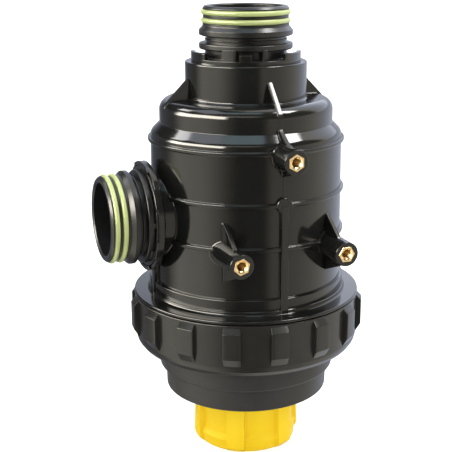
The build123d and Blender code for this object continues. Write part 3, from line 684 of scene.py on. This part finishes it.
def cut_side_port(made):
    """Open the body wall inside the port's neck with a cylinder a little wider than the bore."""
    radius = side_neck_bore_r + 1.1
    near, far = -40.0, -90.0
    outline = np.array([(0, far), (radius, far), (radius, near), (0, near)])
    points, quads = lathe(outline, 128)
    x, y, z = points.T
    cylinder = np.stack([z, y, side_z - x], -1), quads
    cutter = piece("port_cutter", [cylinder], "housing", housing_black, ())
    cut = made.modifiers.new("port", "BOOLEAN")
    cut.operation = "DIFFERENCE"
    cut.solver = "EXACT"
    cut.object = cutter
    view = bpy.context.evaluated_depsgraph_get()
    opened = bpy.data.meshes.new_from_object(made.evaluated_get(view))
    made.modifiers.clear()
    made.data = opened
    opened.shade_smooth()
    opened.set_sharp_from_angle(angle=radians(sharp_angle))
    bpy.data.objects.remove(cutter)


body_wall = piece("housing_wall", [lathe(rounded(housing_section()), 240)], "housing",
                  housing_black, ["housing"])
cut_side_port(body_wall)

# After the pad and the port come the rib under the port, a thin line over the pad and the slim
# rib over the top boss's fin
features = [upright_rib(middle_hoop_z, *front_rib), gate_pad(), side_boss(),
            turned_by(upright_rib(side_z - side_neck_r + 0.5, *front_rib), -90),
            upright_rib(thin_line_top_z, 1.3, 0.45, low=middle_hoop_z),
            upright_rib(slim_rib_top_z, 3.3, 0.5, low=upper_z + 0.5)]
features += [turned_by(gusset(), 90 * quarter) for quarter in range(4)]
for name, *spot in mount_spots():
    features += mount_boss(*spot)
features.append(low_collar(boss_top_z, crown_low))
features += lugs(boss_top_z, crown_high, crown_lugs)
features += in_side_port(lugs(0.0, side_crown_high, side_lugs), side_plate_reach)
piece("housing_features", features, "housing", housing_black, ["housing"])
piece("housing_thread", thread(skirt_r, skirt_r + nut_ridge, nut_pitch, 2.9, 1.3, skirt_z + 3.0,
                               skirt_z + 24.0),
      "housing", housing_black, ["housing"])


# Threaded inserts

def insert(x, z, turn):
    """Hexagonal brass insert with chamfered rims and a threaded hole: the hole's radius follows a
    triangle wave that climbs a pitch a turn."""
    angle = np.linspace(0, TAU, 96, endpoint=False) - radians(30 + turn)
    outer = hexagon(turn, insert_flats - 0.04)(angle)
    depth = np.linspace(insert_mouth, insert_l - 0.3, 84)[:, None]
    wave = np.abs(((depth / insert_pitch - angle / TAU) % 1) - 0.5) * 2
    rows = [(outer, insert_l), (outer, insert_edge), (outer - insert_edge, 0.0),
            (bolt_r + insert_mouth, 0.0), *zip(bolt_r - insert_ridge * wave, depth[:, 0]),
            (bolt_r, insert_l)]
    grid = np.stack([polar(r, angle, mount_reach - d) for r, d in rows])
    return skin(out_of_front(grid, x, z), wrap_rows=True)


for name, x, z, _, _, turn in mount_spots():
    piece("insert_" + name, [insert(x, z, turn)], "housing", brass,
          ["mounting_insert_" + name], crease=25.0)


# Spigots and their rubber rings

# Foot of the top spigot: a plug with the groove of its seal, then the neck
plug = [(plug_bore_r, 0), (plug_r, 0, 0.8), (plug_r, 5.0), (plug_groove_r, 5.0),
        (plug_groove_r, 8.0), (plug_r, 8.0), (plug_r, plug_l, 0.6), (neck_out_r, plug_l, 0.4),
        (neck_out_r, collar_z, 0.4)]
# Its bore widens downwards for the valve's guide
guide_bore = [(spigot_bore_r, 18.4), (26.0, 18.0), (26.0, 8.0, 0.5), (plug_bore_r, 3.5)]
# Foot of the side spigot: a pilot, the face with the groove of its seal, then a flange
flange = [(spigot_bore_r, 9.0), (26.7, 9.0, 0.5), (26.7, 15.0), (30.9, 15.0), (30.9, 16.9),
          (33.3, 16.9), (33.3, 15.0), (plug_r, 15.0), (plug_r, 18.4, 0.6), (30.5, 18.4),
          (30.5, collar_z, 0.1)]


def spigot(start, end, dog_z):
    """Spigot in its own frame: from start, its foot, up the neck, the two collars with the fork
    groove, the ring grooves and the tip, and back down the bore by end. Dogs stand on the neck
    from dog_z."""
    fork_rib_top = fork_rib_z + fork_rib_h
    groove_top, second_groove_top = groove_z + groove_w, second_groove_z + groove_w
    corners = [
        *start,
        (collar_r, collar_z, 1.2), (collar_r, fork_z, 0.8), (fork_r, fork_z, 0.3),
        (fork_r, fork_rib_z, 0.2), (fork_rib_r, fork_rib_z, 0.3),
        (fork_rib_r, fork_rib_top, 0.3), (fork_r, fork_rib_top, 0.2),
        (fork_r, outer_collar_z, 0.3), (30.5, outer_collar_z, 0.7),
        (collar_r, outer_collar_z + 0.8, 0.5), (collar_r, cone_z, 0.5),
        (spigot_r, cone_top_z, 1.0), (spigot_r, groove_z, 0.3), (groove_r, groove_z),
        (groove_r, groove_top), (29.6, groove_top, 0.3), (29.6, second_groove_z, 0.3),
        (groove_r, second_groove_z), (groove_r, second_groove_top),
        (spigot_r, second_groove_top, 0.3), (spigot_r, spigot_l - 1.5, 0.6),
        (28.6, spigot_l, 0.6), (26.0, spigot_l, 0.4), (spigot_bore_r, spigot_l - 0.8, 0.4),
        *end]
    shells = [lathe(rounded(corners))]
    for middle, half in ((-41.5, 8.5), (1.5, 3.0), (138.5, 8.5), (181.5, 3.0)):
        block = [(29.5, dog_z - 0.4), (33.5, dog_z - 0.4), (33.5, 20.2, 0.4), (29.5, 20.2, 0.4)]
        shells.append(ring_block(block, 2 * radians(half) * 31.5, 0.4, middle))
    return shells


def in_top_boss(shells):
    """Shells of the spigot's own frame stood on its seat in the top boss."""
    return [(points + np.array([0, 0, plug_seat_z]), quads) for points, quads in shells]


def rubber_ring(outer, section, z):
    """Round ring by its outer radius."""
    t = np.linspace(0, TAU, 36, endpoint=False)
    half = section / 2
    return lathe(np.stack([outer - half + half * np.cos(t), z + half * np.sin(t)], -1))


for side, placed, foot, end, dog_z in (("top", in_top_boss, plug, guide_bore, plug_l),
                                       ("side", in_side_port, flange, [], 18.2)):
    piece(side + "_spigot_body", placed(spigot(foot, end, dog_z)), "housing",
          spigot_black, [side + "_spigot"])
    for place, z in (("inner", groove_z + groove_w / 2), ("outer", second_groove_z + groove_w / 2)):
        name = side + "_spigot_seal_" + place
        piece(name + "_ring", placed([rubber_ring(seal_r, seal_d, z)]), "housing",
              seal_green, [name])


# Ring nut

def ring_nut():
    """Ring nut: lip, wall and grip blocks."""
    lip_r = bowl_high_r + 2.3
    corners = [(lip_r, nut_z, 0.5), (nut_r - 3.4, nut_z, 0.8), (nut_r - 0.9, nut_z + 3.4, 1.5),
               (nut_r, nut_z + 6.8, 3.0), (nut_r, nut_top_z, 0.7), (nut_bore_r, nut_top_z, 0.5),
               (nut_bore_r, nut_seat_z), (lip_r, nut_seat_z, 0.5)]
    shells = [lathe(rounded(corners), 240)]
    tip, root, top = nut_r + grip_proud, nut_bore_r + 1.7, nut_top_z - 1.4
    block = [(root, nut_z + 5.1), (tip, nut_z + 14.0, 0.8), (tip, nut_top_z - 5.0, 0.6),
             (nut_r + 0.1, top, 0.3), (root, top)]
    for number in range(grips):
        shells.append(ring_block(block, grip_w, 0.35, grip_turn + 360 / grips * number))
    return shells


piece("ring_nut_body", ring_nut(), "ring_nut", nut_black, ["ring_nut"])
piece("ring_nut_thread", thread(nut_bore_r, nut_bore_r - nut_ridge, nut_pitch, 2.6, 1.1,
                                skirt_z + 6.0, nut_top_z - 3.0, turned=pi),
      "ring_nut", nut_black, ["ring_nut"])


# Bowl

def bowl():
    """Bowl: stepped wall, flange, plug in the skirt, hollow underside, neck and hub."""
    plug_out = skirt_bore_r - 0.1
    plug_in = plug_out - 5.4
    plug_top = skirt_z + 16.0
    groove_top = bowl_groove_z + bowl_groove_w
    inside = bowl_high_r - 4.0
    foot_in = bowl_low_r - 4.0
    floor_z = rim_z + 10.5
    hub_top = floor_z + 12.0
    under_z = rim_z + 6.5
    corners = [(foot_in, rim_z, 0.6), (bowl_low_r, rim_z, 1.2),
               (bowl_low_r + 0.4, step_z - 1.2, 1.0), (bowl_high_r - 0.4, step_z + 0.6, 1.8),
               (bowl_high_r, nut_seat_z), (bowl_flange_r, nut_seat_z, 0.4),
               (bowl_flange_r, skirt_z, 0.5), (plug_out, skirt_z), (plug_out, bowl_groove_z),
               (bowl_groove_r, bowl_groove_z), (bowl_groove_r, groove_top),
               (plug_out, groove_top), (plug_out, plug_top, 0.8), (plug_in, plug_top, 0.5),
               (plug_in, skirt_z + 2.0, 1.5), (inside, nut_seat_z + 1.0, 1.5),
               (inside, step_z + 2.0, 1.5), (well_r, floor_z + 4.0, 1.0),
               (well_r, floor_z, 1.5), (hub_r, floor_z, 0.5), (hub_r, hub_top, 1.0),
               (neck_bore_r, hub_top, 0.5), (neck_bore_r, neck_z), (neck_r, neck_z, 0.8),
               (neck_r, under_z, 2.0), (foot_in, under_z, 1.5)]
    return lathe(rounded(corners), 240)


piece("bowl_body", [bowl()], "bowl", bowl_black, ["bowl"])
piece("bowl_neck_thread", thread(neck_r, neck_r + 1.2, knob_pitch, 3.0, 1.3, 10.0, 40.0, starts=3),
      "bowl", bowl_black, ["bowl"])


# Knob

def soft_min(a, b, size):
    """Smaller of two fields, with a round of about the size given where they cross."""
    h = np.clip(0.5 + 0.5 * (b - a) / size, 0, 1)
    return b + (a - b) * h - size * h * (1 - h)


def soft_max(a, b, size):
    """Larger of two fields, rounded the same way."""
    return -soft_min(-a, -b, size)


def knob():
    """Knob whose outside radius depends on angle and height: six lobes that draw in a little
    upwards, over a rim at its foot that flares out of the wall, under an envelope that rounds its
    lower edge. Inside are the room for the neck's thread, the plug and the stem's socket."""
    fine = np.concatenate([np.linspace(-30, -14, 10), np.linspace(-13.5, -8.5, 16),
                           np.linspace(-8, 8, 12), np.linspace(8.5, 13.5, 16),
                           np.linspace(14, 30, 10)[:-1]])
    around = (fine[None] + lobe_turn + 60 * np.arange(6)[:, None]).ravel()
    side_gap = ((lobe_half - np.abs(np.tile(fine, 6))) * pi / 180 * 37.5)[:, None]
    top_z = knob_h - knob_top_round
    z = np.concatenate([knob_foot_round * (1 - np.cos(np.linspace(0, pi / 2, 14))),
                        np.linspace(5.2, 13.0, 30), np.linspace(13.5, knob_h - 1.0, 20),
                        top_z + knob_top_round * np.sin(np.linspace(0, pi / 2, 6))])
    taper = lobe_taper * np.clip(z - knob_foot_round, 0, None) / (knob_h - knob_foot_round)
    flank = knob_r + 0.5 + 5 * side_gap
    lobes = soft_min(lobe_r - taper + 0 * side_gap, flank, 1.6)
    lobes = soft_max(knob_r + 0 * side_gap, lobes, 1.6)
    rim = np.interp(z, [0, 0.4, 1.2, 8.3, 8.8, 12.0, 13.0],
                    [35.6, 36.2, 36.5, 37.0, 36.6, 34.8, 33.0])
    under = np.clip(knob_foot_round - z, 0, knob_foot_round)
    over = np.clip(z - top_z, 0, knob_top_round)
    low = lobe_r - knob_foot_round + np.sqrt(knob_foot_round**2 - under**2)
    high = lobe_r - lobe_taper - knob_top_round
    high += np.sqrt(np.maximum(knob_top_round**2 - over**2, 0))
    outer = soft_min(soft_max(lobes, rim[None], 0.8), low[None], 0.5)
    outer = np.where(z > knob_h - 2, np.minimum(outer, high[None]), outer)
    groove_top, clip_top = knob_groove_z + knob_groove_w, clip_z + clip_w
    inner = rounded([(knob_bore_r, knob_h), (knob_bore_r, neck_z), (knob_plug_r, neck_z),
                     (knob_plug_r, knob_groove_z), (knob_groove_r, knob_groove_z),
                     (knob_groove_r, groove_top), (knob_plug_r, groove_top),
                     (knob_plug_r, knob_plug_top_z, 0.5), (socket_r, knob_plug_top_z),
                     (socket_r, clip_top), (clip_r, clip_top), (clip_r, clip_z),
                     (socket_r, clip_z), (socket_r, socket_z), (0, socket_z), (0, 0),
                     (recess_in_r, 0), (recess_in_r, recess_h, 0.3),
                     (recess_out_r, recess_h, 0.3), (recess_out_r, 0)])
    shape = len(around), len(inner)
    r = np.concatenate([outer, np.broadcast_to(inner[:, 0], shape)], axis=1)
    height = np.concatenate([np.broadcast_to(z, outer.shape),
                             np.broadcast_to(inner[:, 1], shape)], axis=1)
    return skin(polar(r, np.radians(around - 90)[:, None], height), wrap_rows=True)


piece("valve_knob_body", [knob()], "valve_knob", knob_yellow, ["valve_knob"])


# Inner pieces keep their CAD solids

inside_finishes = {
    "top_spigot_body_seal": seal_black, "side_spigot_body_seal": seal_black,
    "bowl_seal": seal_black, "knob_seal": seal_black, "stem_clip": stainless,
    "valve_stem": inner_plastic, "valve_guide": inner_plastic, "valve_disc": inner_plastic,
    "valve_disc_seal": seal_black, "valve_spring": stainless, "cartridge_cage": cage_blue,
    "cartridge_mesh": stainless, "cartridge_top_gasket": seal_black,
    "cartridge_bottom_gasket": seal_black,
}
for name, material in inside_finishes.items():
    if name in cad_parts:
        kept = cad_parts[name]
        kept.data.materials.clear()
        kept.data.materials.append(material)


# Floor, lights and camera

view_azimuth = radians(-21.7)
view_down = radians(15.66)
camera_spot = (-0.2625, -0.6597, 0.3621)
lens_pixels = 1010.9
image_w = 452
axis_pixel = 245.9
middle_z = 0.24
front_level = 0.08
window_level = 24
fill_level = 1.52
floor_glow = 0.55
floor_reach = 12.0


def towards(angle, up):
    """Unit vector from the object, by degrees to the camera's right and degrees up."""
    turn = view_azimuth + radians(angle)
    flat = cos(radians(up))
    return np.array([sin(turn) * flat, -cos(turn) * flat, sin(radians(up))])


def softbox(name, spot, aim, width, height, radiance, tint):
    """Area lamp of an even brightness: its power is the brightness times pi times its area. Its
    spot and aim are in metres to the camera's right, towards the camera and up, from the middle of
    the object."""
    right, front = towards(90, 0), towards(0, 0)
    lamp = bpy.data.lights.new(name, "AREA")
    lamp.shape = "RECTANGLE"
    lamp.size = width
    lamp.size_y = height
    lamp.energy = radiance * pi * width * height
    lamp.color = tint
    made = bpy.data.objects.new(name, lamp)
    made.location = right * spot[0] + front * spot[1] + np.array((0, 0, spot[2] + middle_z))
    gap = [here - there for here, there in zip(spot, aim)]
    away = Vector(right * gap[0] + front * gap[1] + np.array((0, 0, gap[2]))).normalized()
    side = Vector(right - np.array(away) * (np.array(away) @ right)).normalized()
    made.rotation_euler = Matrix((side, away.cross(side), away)).transposed().to_euler()
    made.visible_camera = False
    bpy.context.scene.collection.objects.link(made)


softbox("ceiling_box", (-0.03, 0.33, 1.05), (-0.03, 0.33, 0.0), 0.61, 0.34, 2.1,
        (0.70, 0.98, 1.12))
softbox("ceiling_side", (-0.64, 0.04, 1.05), (-0.64, 0.04, 0.0), 0.60, 0.76, 2.4,
        (0.92, 0.98, 1.10))
softbox("window_right", (0.65, 0.04, 1.05), (0.0, 0.0, 0.0), 0.34, 0.40, 27.0,
        (1.0, 0.99, 0.97))
softbox("window_back_left", (-1.15, -0.42, 1.05), (0.0, 0.0, 0.0), 0.36, 0.44, 10.5,
        (1.0, 0.97, 0.97))


def studio():
    """World: white for the camera. For gloss it is a room, drawn by the angle round the object, in
    radians to the camera's right, and by the sine of the height. Its walls are dark in front,
    bright on the left, brighter in steps to the right, dark again behind the left, about half as
    bright at the back, and dim higher up. A window stands high on the left, pale sky shows over
    the back and a strip hangs over the front. The light is warm in front and cool behind. All
    else gets an even fill."""
    world = bpy.data.worlds.new("studio")
    bpy.context.scene.world = world
    world.use_nodes = True
    tree = world.node_tree
    camera, gloss, through = (node(tree, "ShaderNodeLightPath", out=f"Is {kind} Ray")
                              for kind in ("Camera", "Glossy", "Transmission"))
    where = node(tree, "ShaderNodeTexCoord")
    ahead, aside, rise = (
        node(tree, "ShaderNodeVectorMath", {"operation": "DOT_PRODUCT"},
             {0: where, 1: tuple(way)}, out=1)
        for way in (towards(0, 0), towards(90, 0), (0, 0, 1)))
    round_it = aside.maths("ARCTAN2", aside, ahead)
    left = (round_it.ramp(-1.05, -0.10, 1.68, 0.0) + round_it.ramp(-1.95, -1.45, -1.55, 0.0)
            + round_it.ramp(-3.0, -2.6, 0.5, 0.0))
    right = (round_it.ramp(0.34, 0.60, 0.0, 0.72) + round_it.ramp(0.80, 2.00, 0.0, 0.52)
             + round_it.ramp(2.20, 3.00, 0.0, -0.60))
    above = rise - round_it.ramp(-1.75, -0.90, 0.24, 0.41)
    window = (round_it.ramp(-1.90, -1.65) * round_it.ramp(-0.50, -0.44, 1.0, 0.0)
              * (above * above).ramp(0.022, 0.045, 1.0, 0.0))
    sky = rise.ramp(0.18, 0.26) * (round_it.ramp(1.75, 2.00, 0.0, 1.8)
                                   + round_it.ramp(-2.85, -2.60, 0.9, 0.0))
    strip = (round_it.ramp(-0.50, -0.44) * round_it.ramp(0.15, 0.55, 1.5, 0.0)
             * rise.ramp(0.52, 0.58) * rise.ramp(0.72, 0.78, 1.0, 0.0))
    walls = (front_level + left + right) * rise.ramp(0.14, 0.34, 1.0, 0.12)
    level = walls + window * window_level + sky + strip
    white = 1 - (1 - camera) * (1 - through)
    shown = white + (1 - white) * (gloss * level + (1 - gloss) * fill_level)
    tint = blended(tree, ahead.ramp(-0.70, -0.10), (0.86, 0.92, 1.08, 1), (1.0, 0.945, 0.82, 1))
    colour = blended(tree, 1 - gloss * (1 - white), tint, (1, 1, 1, 1))
    tree.links.new(shown.socket, tree.nodes["Background"].inputs["Strength"])
    tree.links.new(colour.socket, tree.nodes["Background"].inputs["Color"])


studio()


def floor():
    """Wide white floor. It shows white to the camera, apart from the object's shadow."""
    material = bpy.data.materials.new("floor_white")
    material.use_nodes = True
    tree = material.node_tree
    surface = tree.nodes["Principled BSDF"]
    surface.inputs["Base Color"].default_value = (0.62, 0.62, 0.63, 1)
    surface.inputs["Roughness"].default_value = 0.9
    surface.inputs["Emission Color"].default_value = (1, 1, 1, 1)
    glow = node(tree, "ShaderNodeLightPath", out="Is Camera Ray") * floor_glow
    tree.links.new(glow.socket, surface.inputs["Emission Strength"])
    mesh = bpy.data.meshes.new("floor")
    corners = [(-1, -1), (1, -1), (1, 1), (-1, 1)]
    mesh.from_pydata([(x * floor_reach, y * floor_reach, 0) for x, y in corners], [],
                     [(0, 1, 2, 3)])
    mesh.materials.append(material)
    made = bpy.data.objects.new("floor", mesh)
    made.visible_glossy = False
    bpy.context.scene.collection.objects.link(made)


floor()

camera_data = bpy.data.cameras.new("camera")
camera_data.sensor_width = 36.0
camera_data.lens = lens_pixels / image_w * camera_data.sensor_width
camera_data.shift_x = (image_w / 2 - axis_pixel) / image_w
camera_data.clip_start = 0.01
camera = bpy.data.objects.new("camera", camera_data)
camera.location = camera_spot
camera.rotation_euler = (pi / 2 - view_down, 0, view_azimuth)
bpy.context.scene.collection.objects.link(camera)
bpy.context.scene.camera = camera
bpy.context.scene.view_settings.view_transform = "Standard"
